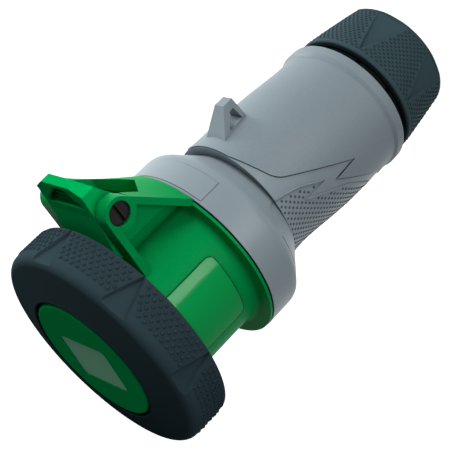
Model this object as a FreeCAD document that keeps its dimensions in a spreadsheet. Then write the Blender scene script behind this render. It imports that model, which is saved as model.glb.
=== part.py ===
import FreeCAD, Part
import math
import os
import re
import Sketcher

# Cable connector of the pin and sleeve type, 63 A, five poles and pilot.
# Millimetres. +Z runs along the axis to the mating face, and z = 0 is the rear
# face of the gland nut. +X is the twelve o'clock side, with the hinge and the
# hanging lug. The hinge pin lies along Y.

doc = FreeCAD.newDocument("pin_and_sleeve_connector")
sheet = doc.addObject("Spreadsheet::Sheet", "Dims")
size = {}


def driving(heading, rows):
    """Write one group of driving dimensions into the sheet, with their aliases."""
    for name, value in rows.items():
        size[name] = value
        row = str(len(size))
        sheet.set("A" + row, name)
        sheet.set("B" + row, str(value))
        sheet.set("C" + row, heading)
        sheet.setAlias("B" + row, name)


driving("lengths along the axis", {
    "nut_length": 38.0,
    "sleeve_show": 6.5,
    "handle_length": 129.5,
    "collar_length": 72.5,
    "ring_stand_off": 50.5,
    "ring_side": 23.6,
    "ring_depth": 29.2,
})
driving("handle", {
    "wall": 3.5,
    "bell_rad": 52.4,
    "bell_length": 19.0,
    "shoulder_length": 17.5,
    "shoulder_round": 8.0,
    "bell_bore_rad": 48.8,
    "bell_bore_depth": 24.0,
    "neck_top_rad": 43.8,
    "neck_under_rad": 37.2,
    "neck_side_rad": 38.4,
    "waist_top_rad": 43.4,
    "waist_under_rad": 36.7,
    "waist_side_rad": 37.4,
    "palm_top_rad": 42.0,
    "palm_under_rad": 39.4,
    "palm_side_rad": 39.4,
    "rear_rad": 39.6,
    "neck_from_flange": 36.5,
    "waist_from_flange": 56.0,
    "palm_from_flange": 84.0,
    "rear_from_flange": 106.0,
    "lip_rad": 41.2,
    "lip_width": 6.0,
    "lip_flare": 2.5,
    "lip_round": 1.2,
    "shell_step": 0.6,
    "cavity_rad": 31.6,
    "spigot_seat_rad": 27.0,
    "spigot_seat_depth": 20.0,
})
driving("seam between the two shells, seen from the side", {
    "seam_start": 37.0,
    "seam_start_x": 41.0,
    "seam_bend": 45.5,
    "seam_bend_x": 22.3,
    "seam_bend_round": 16.0,
    "seam_tip": 90.8,
    "seam_tip_x": -0.3,
    "seam_notch": 75.5,
    "seam_notch_x": -2.2,
    "seam_tail": 109.5,
    "seam_tail_x": -26.0,
    "seam_end": 119.0,
    "seam_gap": 0.3,
})
driving("grip panel of the front shell, seen from the side", {
    "grip_depth": 0.5,
    "grip_front": 19.5,
    "grip_corner": 29.5,
    "grip_corner_x": 17.3,
    "grip_edge": 53.5,
    "grip_edge_x": 10.2,
    "grip_tip": 68.6,
    "grip_tip_x": 2.6,
    "grip_notch": 53.1,
    "grip_notch_x": 1.7,
    "grip_tail": 82.5,
    "grip_tail_x": -11.9,
    "grip_end": 100.5,
    "grip_end_x": -27.2,
})
driving("hanging lug", {
    "lug_front": 39.7,
    "lug_rear": 66.0,
    "lug_foot_half": 9.3,
    "lug_rear_half": 4.6,
    "lug_top_x": 57.0,
    "lug_top_front": 55.5,
    "lug_top_rear": 62.3,
    "lug_top_half": 3.5,
    "lug_root_x": 38.0,
    "lug_hole_foot_x": 44.8,
    "lug_hole_top_x": 52.6,
    "lug_hole_foot_front": 50.5,
    "lug_hole_top_front": 57.0,
    "lug_hole_rear": 61.0,
    "lug_tail_length": 17.0,
    "lug_tail_x": 45.2,
})
driving("release panel on the bell", {
    "panel_half": 30.0,
    "panel_from": 2.4,
    "panel_to": 16.2,
    "panel_thick": 2.4,
    "panel_gap": 0.15,
})
driving("socket collar", {
    "collar_rad": 42.7,
    "collar_bore_rad": 40.0,
    "collar_flange_rad": 52.1,
    "collar_flange_thick": 1.6,
    "collar_foot_round": 3.0,
    "collar_spigot_rad": 48.5,
    "collar_spigot_length": 16.0,
    "shell_seal_thick": 0.9,
    "shell_seal_rad": 51.7,
    "keyway_width": 8.0,
    "keyway_rad": 42.6,
    "keyway_rib_rad": 44.8,
    "keyway_rib_width": 13.0,
    "lug_outer_rad": 48.2,
    "lug_half_width": 10.0,
    "lug_below_rim": 14.5,
    "lug_height": 5.0,
    "label_from": 60.0,
    "label_to": 113.0,
    "label_rear": 11.0,
    "label_front": 52.0,
    "label_thick": 0.4,
    "label_round": 4.0,
})
driving("hinge bracket of the collar", {
    "pin_x": 68.8,
    "pin_drop": 13.3,
    "boss_rad": 8.45,
    "ear_outer": 28.0,
    "ear_thick": 8.5,
    "web_depth": 5.0,
    "brace_thick": 3.8,
    "strut_thick": 4.1,
    "strut_foot_back": 3.0,
    "ear_foot_x": 31.0,
    "brace_angle": 42.5,
    "pocket_ring_rad": 9.9,
    "web_foot_x": 51.0,
    "saddle_foot_angle": 21.0,
    "plate_thick": 3.5,
    "plate_start": 9.0,
    "boss_crown": 1.0,
    "notch_straight": 18.2,
    "notch_length": 29.0,
    "well_floor_x": 43.2,
})
driving("hinge pin", {
    "pin_rad": 4.0,
    "pin_head_rad": 6.1,
    "pin_head_length": 5.0,
    "pin_recess": 1.2,
    "pin_slot_width": 1.7,
    "pin_slot_depth": 1.6,
    "pin_slot_angle": -7.0,
    "head_clearance": 0.24,
    "running_clearance": 0.05,
})
driving("lid", {
    "lid_rad": 49.0,
    "lid_plate_thick": 1.8,
    "lid_stand": 1.1,
    "lid_boss_rad": 37.5,
    "lid_boss_height": 4.2,
    "lid_boss_round": 1.5,
    "lid_side_gap": 0.3,
    "lid_arm_inner_rad": 44.2,
    "lid_arm_outer_rad": 49.2,
    "lid_arm_thick": 5.0,
    "lid_arm_rise": 9.8,
    "lid_step_rise": 7.0,
    "lid_step_gap": 0.5,
    "window_length": 38.0,
    "window_height": 28.8,
    "window_shift": -2.0,
    "window_depth": 0.7,
    "window_round": 3.0,
    "window_gap": 0.3,
    "window_plate_thick": 0.4,
    "gasket_inner_rad": 38.4,
    "gasket_outer_rad": 44.0,
    "gasket_gap": 0.2,
})
driving("thumb tab of the lid", {
    "tab_reach": 22.4,
    "tab_tip_rise": 5.3,
    "tab_front_reach": 19.6,
    "tab_front_rise": 9.1,
    "tab_back_reach": 6.4,
    "tab_back_drop": 5.5,
    "tab_shoulder_reach": 15.2,
    "tab_tip_half": 7.0,
    "tab_scoop_floor": 3.6,
    "tab_scoop_reach": 17.6,
    "tab_scoop_bend": 12.0,
    "tab_scoop_corner": 16.5,
    "tab_scoop_spread": 9.0,
    "tab_rib_pitch": 2.3,
    "tab_rib_thick": 1.1,
    "tab_rib_height": 1.3,
})
driving("bayonet ring", {
    "ring_rad": 63.5,
    "ring_core_rad": 57.3,
    "ring_bore_rad": 50.0,
    "ring_mouth_rad": 38.9,
    "ring_plate_gap": 0.2,
    "ring_round": 5.5,
    "ring_rear_round": 1.0,
    "ring_mouth_round": 0.5,
    "ring_core_inset": 1.5,
    "ring_skin": 0.7,
    "ring_seam": 0.6,
    "cam_inner_rad": 46.2,
    "cam_half_width": 8.5,
    "cam_height": 5.0,
    "cam_clear": 1.0,
    "cam_angle": 45.0,
    "clip_inner_rad": 46.6,
    "clip_outer_rad": 51.6,
    "clip_thick": 1.6,
    "clip_gap": 0.2,
    "clip_start": 38.0,
    "clip_sweep": 247.0,
    "ring_mark_half": 8.8,
    "ring_mark_apex": 2.2,
    "ring_mark_base": 27.5,
    "ring_mark_depth": 1.6,
    "ring_mark_bevel": 40.0,
})
driving("contacts", {
    "carrier_rad": 35.2,
    "carrier_set_back": 3.5,
    "carrier_flange_rad": 48.4,
    "carrier_gap": 0.2,
    "pitch_rad": 19.5,
    "phase_pin_rad": 4.0,
    "earth_pin_rad": 5.0,
    "pilot_pin_rad": 3.0,
    "sleeve_wall": 1.9,
    "pin_play": 0.08,
    "sleeve_set_back": 3.0,
    "pilot_set_back": 12.0,
    "sleeve_depth": 44.0,
    "contact_gap": 0.1,
    "sleeve_slot": 0.8,
    "sleeve_slot_length": 22.0,
    "terminal_wall": 3.0,
    "terminal_length": 22.0,
    "terminal_bore_depth": 16.0,
    "clamp_plate_rad": 33.0,
    "clamp_plate_thick": 4.0,
    "terminal_screw_rad": 2.4,
    "terminal_screw_length": 5.2,
    "earth_angle": 60.0,
})
driving("cable gland", {
    "nut_front_rad": 39.5,
    "nut_rear_rad": 35.0,
    "nut_rear_round": 2.5,
    "nut_front_round": 1.0,
    "nut_wall_rear": 3.0,
    "nut_mouth_rad": 18.0,
    "nut_mouth_bevel": 2.0,
    "thread_rad": 31.0,
    "thread_clearance": 0.08,
    "nut_mark_half": 11.0,
    "nut_mark_apex": 6.0,
    "nut_mark_depth": 1.4,
    "sleeve_rear": 8.5,
    "sleeve_flange_rad": 36.0,
    "sleeve_rim_rad": 37.4,
    "sleeve_rim_thick": 0.8,
    "sleeve_flange_gap": 0.4,
    "sleeve_bore_rad": 26.0,
    "sleeve_neck_rad": 22.0,
    "seal_bore_rad": 15.0,
    "seal_gap": 0.1,
    "seal_front": 27.0,
    "seal_groove": 1.2,
    "thrust_thick": 2.0,
    "thrust_rad": 30.5,
    "thrust_gap": 0.1,
    "sleeve_tooth_depth": 1.6,
    "sleeve_tooth_width": 3.0,
})
doc.recompute()

# Places that several pieces share, as formulas of the sheet's values.
LIP = "(nut_length + sleeve_show)"
FLANGE = "(nut_length + sleeve_show + handle_length)"
RIM = "(nut_length + sleeve_show + handle_length + ring_stand_off)"
COLLAR_TOP = "(nut_length + sleeve_show + handle_length + collar_length)"
RING_FRONT = "(nut_length + sleeve_show + handle_length + ring_stand_off + ring_depth)"
PIN_Z = "(nut_length + sleeve_show + handle_length + ring_stand_off - pin_drop)"
BELL_FRONT = f"({FLANGE} - shell_seal_thick)"
LID_BACK = f"({COLLAR_TOP} + lid_stand)"
LID_FRONT = f"({LID_BACK} + lid_plate_thick)"
RING_PLATE = f"({LID_FRONT} + ring_plate_gap)"
EAR_INNER = "(ear_outer - ear_thick)"
CARRIER_FRONT = f"({COLLAR_TOP} - carrier_set_back)"
CARRIER_REAR = f"({FLANGE} - bell_bore_depth)"
PLATE_REAR = f"({CARRIER_REAR} - clamp_plate_thick)"


def formula(text):
    """The sheet's own names inside an expression, each with the sheet in front."""
    return re.sub(r"[a-z_]\w*", lambda m: "Dims." + m[0] if m[0] in size else m[0], text)


def bind(thing, **places):
    """Drive the named properties of an object from expressions."""
    for name, text in places.items():
        thing.setExpression(name.replace("__", "."), formula(text))
    return thing


def at(thing, x="0", y="0", z="0"):
    """Place an object by expressions."""
    return bind(thing, Placement__Base__x=x, Placement__Base__y=y, Placement__Base__z=z)


def turn(thing, axis, angle):
    """Turn an object about an axis through its own origin."""
    thing.Placement = FreeCAD.Placement(thing.Placement.Base, FreeCAD.Rotation(axis, angle))
    return thing


X_AXIS = FreeCAD.Vector(1, 0, 0)
Y_AXIS = FreeCAD.Vector(0, 1, 0)
Z_AXIS = FreeCAD.Vector(0, 0, 1)


def cylinder(name, rad, length, x="0", y="0", z="0", along="z"):
    """A cylinder from its start along Z or Y."""
    made = doc.addObject("Part::Cylinder", name)
    bind(made, Radius=rad, Height=length)
    if along == "y":
        turn(made, X_AXIS, -90)
    return at(made, x, y, z)


def block(name, x, y, z):
    """A box between pairs of expressions along each axis."""
    made = doc.addObject("Part::Box", name)
    for side, (low, high) in (("Length", x), ("Width", y), ("Height", z)):
        bind(made, **{side: f"({high}) - ({low})"})
    return at(made, x[0], y[0], z[0])


def outline(body, name, role, corners, offset="0"):
    """A closed sketch of straight lines, each corner driven by two expressions."""
    sketch = body.newObject("Sketcher::SketchObject", name)
    plane = [each for each in body.Origin.OriginFeatures if each.Role == role][0]
    sketch.AttachmentSupport = (plane, [""])
    sketch.MapMode = "FlatFace"
    bind(sketch, AttachmentOffset__Base__z=offset)
    count = len(corners)
    start = []
    for index in range(count):
        angle = 2 * math.pi * index / count
        start.append(FreeCAD.Vector(100 + 50 * math.cos(angle), 100 + 50 * math.sin(angle), 0))
    for index in range(count):
        sketch.addGeometry(Part.LineSegment(start[index], start[(index + 1) % count]))
    for index in range(count):
        sketch.addConstraint(Sketcher.Constraint("Coincident", index, 2, (index + 1) % count, 1))
    for index, (across, up) in enumerate(corners):
        for kind, text, here in (("DistanceX", across, start[index].x), ("DistanceY", up, start[index].y)):
            number = sketch.addConstraint(Sketcher.Constraint(kind, -1, 1, index, 1, here))
            sketch.setExpression(f"Constraints[{number}]", formula(text))
    return sketch


def turned(name, corners):
    """A body turned about the axis from (radius, height) corners."""
    body = doc.addObject("PartDesign::Body", name)
    sketch = outline(body, name + "_profile", "XZ_Plane", corners)
    spin = body.newObject("PartDesign::Revolution", name + "_turned")
    spin.Profile = sketch
    spin.ReferenceAxis = (sketch, ["V_Axis"])
    spin.Angle = 360
    doc.recompute()
    return body


def rounded(body, name, rad, wanted):
    """Fillet the edges of a body's last feature that the test picks."""
    base = body.Tip
    names = []
    for number, edge in enumerate(base.Shape.Edges, 1):
        if wanted(edge):
            names.append(f"Edge{number}")
    fillet = body.newObject("PartDesign::Fillet", name)
    fillet.Base = (base, names)
    bind(fillet, Radius=rad)
    doc.recompute()
    return body


def circle_at(rad, height):
    """A test for the circular edge of a given radius at a given height."""
    def test(edge):
        round_edge = isinstance(edge.Curve, Part.Circle)
        return round_edge and abs(edge.Curve.Radius - rad) < 0.01 and abs(edge.Curve.Center.z - height) < 0.01
    return test


def slab(name, corners, half_width):
    """A prism of an (x, z) outline, as wide to each side of the middle plane."""
    body = doc.addObject("PartDesign::Body", name)
    sketch = outline(body, name + "_profile", "XZ_Plane", corners)
    pad = body.newObject("PartDesign::Pad", name + "_pad")
    pad.Profile = sketch
    pad.SideType = "Symmetric"
    bind(pad, Length=f"2 * ({half_width})")
    doc.recompute()
    return body


def column(name, corners, low, high, role="XY_Plane"):
    """A prism of an (x, y) outline between two heights, or of a (y, z) outline along X."""
    body = doc.addObject("PartDesign::Body", name)
    sketch = outline(body, name + "_profile", role, corners, low)
    pad = body.newObject("PartDesign::Pad", name + "_pad")
    pad.Profile = sketch
    bind(pad, Length=f"({high}) - ({low})")
    doc.recompute()
    return body


def fuse(name, *things):
    made = doc.addObject("Part::MultiFuse", name)
    made.Shapes = list(things)
    made.Refine = True
    return made


def cut(name, base, *tools):
    made = doc.addObject("Part::Cut", name)
    made.Base = base
    made.Tool = tools[0] if len(tools) == 1 else fuse(name + "_tools", *tools)
    made.Refine = True
    return made


def common(name, *things):
    made = doc.addObject("Part::MultiCommon", name)
    made.Shapes = list(things)
    return made


def mirrored(name, source):
    """The copy of a piece across the middle plane."""
    made = doc.addObject("Part::Mirroring", name)
    made.Source = source
    made.Normal = Y_AXIS
    return made


def copies(name, source, angles, middle=Z_AXIS):
    """One node of equal pieces, turned about the axis."""
    placed = []
    for number, angle in enumerate(angles):
        link = doc.addObject("App::Link", f"{name}_{number}")
        link.LinkedObject = source
        link.LinkTransform = True
        link.Placement = FreeCAD.Placement(FreeCAD.Vector(), FreeCAD.Rotation(middle, angle))
        placed.append(link)
    made = doc.addObject("Part::Compound", name)
    made.Links = placed
    return made


nodes = []


def node(label, thing):
    """Name a finished piece."""
    thing.Label = label
    nodes.append(thing)
    return thing


def height_of(text_names, extra=0.0):
    """The sum of named driving dimensions, as a number."""
    return sum(size[each] for each in text_names) + extra


LIP_AT = height_of(["nut_length", "sleeve_show"])
FLANGE_AT = LIP_AT + size["handle_length"]
RIM_AT = FLANGE_AT + size["ring_stand_off"]


def from_flange(name):
    """A height measured rearwards from the collar flange."""
    return f"{FLANGE} - {name}"


# Handle: front bell, lofted neck, and the two shells that meet at the seam.
def neck_section(name, upper, under, side, back):
    """One section of the neck, an ellipse set off towards the upper side."""
    ellipse = doc.addObject("Part::Ellipse", name)
    bind(ellipse, MajorRadius=f"({upper} + {under}) / 2", MinorRadius=side)
    return at(ellipse, f"({upper} - {under}) / 2", "0", from_flange(back))


def neck(name, step):
    """The neck as one smooth loft, grown outwards by a step."""
    sections = []
    for place, back in (("neck", "neck_from_flange"), ("waist", "waist_from_flange"),
                        ("palm", "palm_from_flange")):
        radii = [f"({place}_{side}_rad + {step})" for side in ("top", "under", "side")]
        sections.append(neck_section(f"{name}_{place}", *radii, back))
    rear = f"(rear_rad + {step})"
    sections.append(neck_section(name + "_rear", rear, rear, rear, "rear_from_flange"))
    sections.append(neck_section(name + "_end", rear, rear, rear, "(handle_length - 1)"))
    loft = doc.addObject("Part::Loft", name)
    loft.Sections = sections
    loft.Solid = True
    return loft


def bell(name, sunk):
    """The bell with its rounded shoulder, drawn in by a depth."""
    body = turned(name, [
        ("0", BELL_FRONT),
        (f"bell_rad - {sunk}", BELL_FRONT),
        (f"bell_rad - {sunk}", f"{BELL_FRONT} - bell_length"),
        (f"neck_under_rad - {sunk}", f"{BELL_FRONT} - bell_length - shoulder_length"),
        ("0", f"{BELL_FRONT} - bell_length - shoulder_length"),
    ])
    shoulder = FLANGE_AT - size["shell_seal_thick"] - size["bell_length"]
    rad = size["bell_rad"] - size.get(sunk, 0)
    return rounded(body, name + "_round", "shoulder_round", circle_at(rad, shoulder))


def grip_recess(outer):
    """The shallow recess of the dotted grip, an arrow on each flank."""
    side = slab("grip_side", [
        ("grip_corner_x", f"{FLANGE} - grip_corner"),
        ("grip_edge_x", f"{FLANGE} - grip_edge"),
        ("grip_tip_x", f"{FLANGE} - grip_tip"),
        ("grip_notch_x", f"{FLANGE} - grip_notch"),
        ("grip_tail_x", f"{FLANGE} - grip_tail"),
        ("grip_end_x", f"{FLANGE} - grip_end"),
        ("-bell_rad - 2", f"{FLANGE} - grip_end"),
        ("-bell_rad - 2", f"{FLANGE} - grip_front"),
        ("0", f"{FLANGE} - grip_front - 1"),
        ("grip_corner_x / 2", f"{FLANGE} - (grip_front + grip_corner) / 2"),
    ], "bell_rad + 2")
    floor = fuse("grip_floor", bell("grip_bell", "grip_depth"), neck("grip_neck", "-grip_depth"))
    return cut("grip_recess", common("grip_region", outer, side), floor)


def handle_cavity():
    """The wiring space, the bore of the bell and the seat of the gland sleeve."""
    return turned("handle_cavity", [
        ("0", f"{LIP} - 1"),
        ("spigot_seat_rad", f"{LIP} - 1"),
        ("spigot_seat_rad", f"{LIP} + spigot_seat_depth"),
        ("cavity_rad", f"{LIP} + spigot_seat_depth + cavity_rad - spigot_seat_rad"),
        ("cavity_rad", f"{CARRIER_REAR} - bell_bore_rad + cavity_rad + wall"),
        ("bell_bore_rad - wall", CARRIER_REAR),
        ("bell_bore_rad", CARRIER_REAR),
        ("bell_bore_rad", f"{FLANGE} + 1"),
        ("0", f"{FLANGE} + 1"),
    ])


def seam_prism():
    """Everything above the seam, as the side view shows it."""
    body = slab("seam_prism", [
        ("lug_top_x + 10", f"{FLANGE} - seam_start"),
        ("seam_start_x", f"{FLANGE} - seam_start"),
        ("seam_bend_x", f"{FLANGE} - seam_bend"),
        ("seam_tip_x", f"{FLANGE} - seam_tip"),
        ("seam_notch_x", f"{FLANGE} - seam_notch"),
        ("seam_tail_x", f"{FLANGE} - seam_tail"),
        ("-lip_rad - 2", f"{FLANGE} - seam_end"),
        ("-lip_rad - 2", f"{LIP} - 2"),
        ("lug_top_x + 10", f"{LIP} - 2"),
    ], "lip_rad + 5")
    bend_x = size["seam_bend_x"]
    bend_z = FLANGE_AT - size["seam_bend"]

    def bend(edge):
        ends = edge.BoundBox
        narrow = ends.XLength < 0.01 and ends.ZLength < 0.01
        return narrow and abs(ends.XMin - bend_x) < 0.01 and abs(ends.ZMin - bend_z) < 0.01

    return rounded(body, "seam_bend", "seam_bend_round", bend)


def lip():
    """The flared collar at the rear of the handle."""
    body = turned("lip", [
        ("0", LIP),
        ("lip_rad", LIP),
        ("lip_rad", f"{LIP} + lip_width"),
        ("rear_rad", f"{LIP} + lip_width + lip_flare"),
        ("0", f"{LIP} + lip_width + lip_flare"),
    ])
    return rounded(body, "lip_edge", "lip_round", circle_at(size["lip_rad"], LIP_AT))


def hanging_lug():
    """A fin that leans back, with its eye and the ridge that runs out behind it."""
    foot_x = size["lug_root_x"]
    top_x = size["lug_top_x"]
    foot = lug_quad(foot_x, "lug_front", "lug_rear", "lug_foot_half", "lug_rear_half")
    top = lug_quad(top_x, "lug_top_front", "lug_top_rear", "lug_top_half", "lug_top_half")
    fin = doc.addObject("Part::Feature", "lug_fin")
    fin.Shape = Part.makeLoft([foot, top], True, True)
    fin.Placement = FreeCAD.Placement()
    eye = slab("lug_eye", [
        ("lug_hole_foot_x", f"{FLANGE} - lug_hole_foot_front"),
        ("lug_hole_top_x", f"{FLANGE} - lug_hole_top_front"),
        ("lug_hole_top_x", f"{FLANGE} - lug_hole_rear + 1"),
        ("lug_hole_foot_x", f"{FLANGE} - lug_hole_rear - 1"),
    ], "lug_foot_half + 2")
    rear = FLANGE_AT - size["lug_rear"] + 2
    half = size["lug_rear_half"]
    crest = FreeCAD.Vector(size["lug_tail_x"], 0, rear)
    left = FreeCAD.Vector(foot_x, -half, rear)
    right = FreeCAD.Vector(foot_x, half, rear)
    point = FreeCAD.Vector(foot_x, 0, rear - size["lug_tail_length"])
    tail = doc.addObject("Part::Feature", "lug_tail")
    tail.Shape = tetrahedron(crest, left, right, point)
    tail.Placement = FreeCAD.Placement()
    return fin, eye, tail


def lug_quad(at_x, front, rear, front_half, rear_half):
    """A level four-sided section of the lug."""
    front_z = FLANGE_AT - size[front]
    rear_z = FLANGE_AT - size[rear]
    corners = [
        FreeCAD.Vector(at_x, -size[front_half], front_z),
        FreeCAD.Vector(at_x, size[front_half], front_z),
        FreeCAD.Vector(at_x, size[rear_half], rear_z),
        FreeCAD.Vector(at_x, -size[rear_half], rear_z),
    ]
    return Part.makePolygon(corners + corners[:1])


def tetrahedron(one, two, three, four):
    faces = []
    for trio in ((one, two, three), (one, two, four), (two, three, four), (three, one, four)):
        faces.append(Part.Face(Part.makePolygon(list(trio) + [trio[0]])))
    return Part.Solid(Part.Shell(faces))


def bell_sector(name, inner, outer, low, high, half):
    """A piece of a tube wall, as wide to each side of twelve o'clock."""
    tube = turned(name + "_tube", [(inner, low), (outer, low), (outer, high), (inner, high)])
    keep = block(name + "_side", ("0", "bell_rad + 5"), (f"-({half})", half), (low, high))
    return common(name, tube, keep)


cavity = handle_cavity()
prism = seam_prism()
panel_low = f"({FLANGE} - panel_to)"
panel_high = f"({FLANGE} - panel_from)"
panel_seat = bell_sector("panel_seat", "bell_rad - panel_thick", "bell_rad + 3",
                         f"({panel_low} - panel_gap)", f"({panel_high} + panel_gap)",
                         "(panel_half + panel_gap)")
outer = fuse("bell_and_neck", bell("bell", "0"), neck("neck", "0"))
seam = bind(doc.addObject("Part::Offset", "seam_gap_prism"), Value="seam_gap")
seam.Source = prism
seam.Join = "Intersection"
front_shell = cut("front_shell", outer, cavity, seam, panel_seat, grip_recess(outer))
fin, eye, tail = hanging_lug()
upper = common("upper_neck", neck("upper", "shell_step"), prism)
handle_shell = cut("handle_shell", fuse("upper_with_lug", upper, fin, tail, lip()), cavity, eye)
release_panel = bell_sector("release_panel", "bell_rad - panel_thick + panel_gap",
                            "bell_rad + panel_gap", panel_low, panel_high, "panel_half")
shell_seal = turned("shell_seal", [
    ("bell_bore_rad", BELL_FRONT),
    ("shell_seal_rad", BELL_FRONT),
    ("shell_seal_rad", FLANGE),
    ("bell_bore_rad", FLANGE),
])
node("front_shell", front_shell)
node("handle_shell", handle_shell)
node("release_panel", release_panel)
node("shell_seal", shell_seal)


# Socket collar with the hinge bracket, its keyway and its two bayonet lugs.
TOP_AT_PIN = "(pin_x + boss_rad / cos(brace_angle))"


def under_top(drop, back):
    """The x of a line parallel to the bracket's top edge, at a distance behind the pin."""
    return f"({TOP_AT_PIN} - ({drop}) / cos(brace_angle) - ({back}) * tan(brace_angle))"


def crowned_wire(behind_pin, crown, drop, half):
    """A section of the bracket's top plate: flat below, arched above."""
    slope = math.radians(size["brace_angle"])
    height = RIM_AT - size["pin_drop"] - behind_pin
    side = size["pin_x"] + (size["boss_rad"] - drop) / math.cos(slope) - behind_pin * math.tan(slope)
    low = side - size["boss_rad"] - size["ear_outer"]
    corners = [
        FreeCAD.Vector(low, -half, height),
        FreeCAD.Vector(side, -half, height),
        FreeCAD.Vector(side, half, height),
        FreeCAD.Vector(low, half, height),
    ]
    middle = FreeCAD.Vector(side + crown, 0, height)
    return Part.Wire([
        Part.LineSegment(corners[0], corners[1]).toShape(),
        Part.Arc(corners[1], middle, corners[2]).toShape(),
        Part.LineSegment(corners[2], corners[3]).toShape(),
        Part.LineSegment(corners[3], corners[0]).toShape(),
    ])


def crowned_loft(name, drop, half):
    """The block below a crowned sloping top, which arches more towards the flange."""
    near = size["plate_start"]
    far = size["ring_stand_off"] - size["pin_drop"]
    share = (half / size["ear_outer"]) ** 2
    edge = math.sqrt(size["bell_rad"] ** 2 - size["ear_outer"] ** 2)
    full = (size["bell_rad"] - edge) * share
    made = doc.addObject("Part::Feature", name)
    made.Shape = Part.makeLoft([
        crowned_wire(near, size["boss_crown"] * share, drop, half),
        crowned_wire(far, full, drop, half),
    ], True, True)
    made.Placement = FreeCAD.Placement()
    return made


def ear_pockets():
    """The recess in the outer side of each ear, down to the sloping saddle."""
    side = slab("pocket_side", [
        (under_top("brace_thick", "5"), f"{PIN_Z} - 5"),
        (under_top("brace_thick", "ring_stand_off - pin_drop"), FLANGE),
        ("ear_foot_x", FLANGE),
        ("ear_foot_x", f"{PIN_Z} + boss_rad - strut_foot_back - strut_thick"),
        ("pin_x", f"{PIN_Z} + boss_rad - strut_thick"),
    ], "ear_outer + 5")
    across = column("pocket_across", [
        ("pin_x + 40", "-(ear_outer - web_depth)"),
        ("web_foot_x", "-(ear_outer - web_depth)"),
        ("collar_rad * cos(saddle_foot_angle)", "-collar_rad * sin(saddle_foot_angle)"),
        ("ear_foot_x - 2", "-collar_rad * sin(saddle_foot_angle) + 4"),
        ("ear_foot_x - 2", "-ear_outer - 5"),
        ("pin_x + 40", "-ear_outer - 5"),
    ], FLANGE, RIM)
    near = common("near_pocket", side, across)
    far = mirrored("far_pocket", near)
    keep = cylinder("boss_rim", "pocket_ring_rad", "2 * ear_outer + 12",
                    "pin_x", "-ear_outer - 6", PIN_Z, "y")
    return cut("ear_pockets", fuse("both_pockets", near, far), keep)


def bracket():
    """Two braced ears joined by a crowned, notched top plate."""
    ears = slab("ears", [
        ("pin_x", f"{PIN_Z} + boss_rad"),
        (under_top("0", "boss_rad * sin(brace_angle)"), f"{PIN_Z} - boss_rad * sin(brace_angle)"),
        (under_top("0", "ring_stand_off - pin_drop"), FLANGE),
        ("ear_foot_x", FLANGE),
        ("ear_foot_x", f"{PIN_Z} + boss_rad - strut_foot_back"),
    ], "ear_outer")
    boss = cylinder("ear_boss", "boss_rad", "2 * ear_outer", "pin_x", "-ear_outer", PIN_Z, "y")
    floor_back = f"(({TOP_AT_PIN} - plate_thick / cos(brace_angle) - web_foot_x) / tan(brace_angle))"
    well = slab("well", [
        ("well_floor_x", f"{RIM} + 5"),
        ("pin_x + 40", f"{RIM} + 5"),
        ("pin_x + 40", f"{PIN_Z} - plate_start"),
        (under_top("plate_thick", "plate_start"), f"{PIN_Z} - plate_start"),
        ("web_foot_x", f"{PIN_Z} - {floor_back}"),
        ("web_foot_x", f"{RIM} - 12"),
        ("well_floor_x", f"{RIM} - 12"),
    ], EAR_INNER)
    plate = cut("top_plate", crowned_loft("plate_over", 0.0, size["ear_outer"]),
                crowned_loft("plate_under", size["plate_thick"], size["ear_outer"] - size["ear_thick"]))
    notch = column("notch", [
        (f"-{EAR_INNER}", RIM),
        (f"-{EAR_INNER}", f"{PIN_Z} - notch_straight"),
        ("0", f"{PIN_Z} - notch_length"),
        (EAR_INNER, f"{PIN_Z} - notch_straight"),
        (EAR_INNER, RIM),
    ], "web_foot_x", "pin_x + 40", "YZ_Plane")
    framed = fuse("framed_ears", cut("ears_and_well", fuse("ears_and_boss", ears, boss), well), plate)
    return cut("bracket", framed, ear_pockets(), notch)


def pin_bores():
    """The bore through both ears, with the seat of the pin's head."""
    through = cylinder("pin_bore", "pin_rad", "2 * ear_outer + 2", "pin_x", "-ear_outer - 1", PIN_Z, "y")
    seat = cylinder("head_seat", "pin_head_rad + head_clearance", "pin_recess + pin_head_length + 1",
                    "pin_x", "-ear_outer - 1", PIN_Z, "y")
    return fuse("pin_bores", through, seat)


def bayonet_lugs():
    """Two lugs across the collar, which the ring's cams pass behind."""
    low = f"({COLLAR_TOP} - lug_below_rim)"
    high = f"({COLLAR_TOP} - lug_below_rim + lug_height)"
    tube = turned("lug_tube", [
        ("collar_bore_rad + 1", low),
        ("lug_outer_rad", low),
        ("lug_outer_rad", high),
        ("collar_bore_rad + 1", f"{high} + lug_outer_rad - collar_bore_rad - 1"),
    ])
    keep = block("lug_keep", ("-lug_half_width", "lug_half_width"), ("-ring_rad", "ring_rad"),
                 (low, f"{high} + 10"))
    return common("bayonet_lugs", tube, keep)


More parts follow.
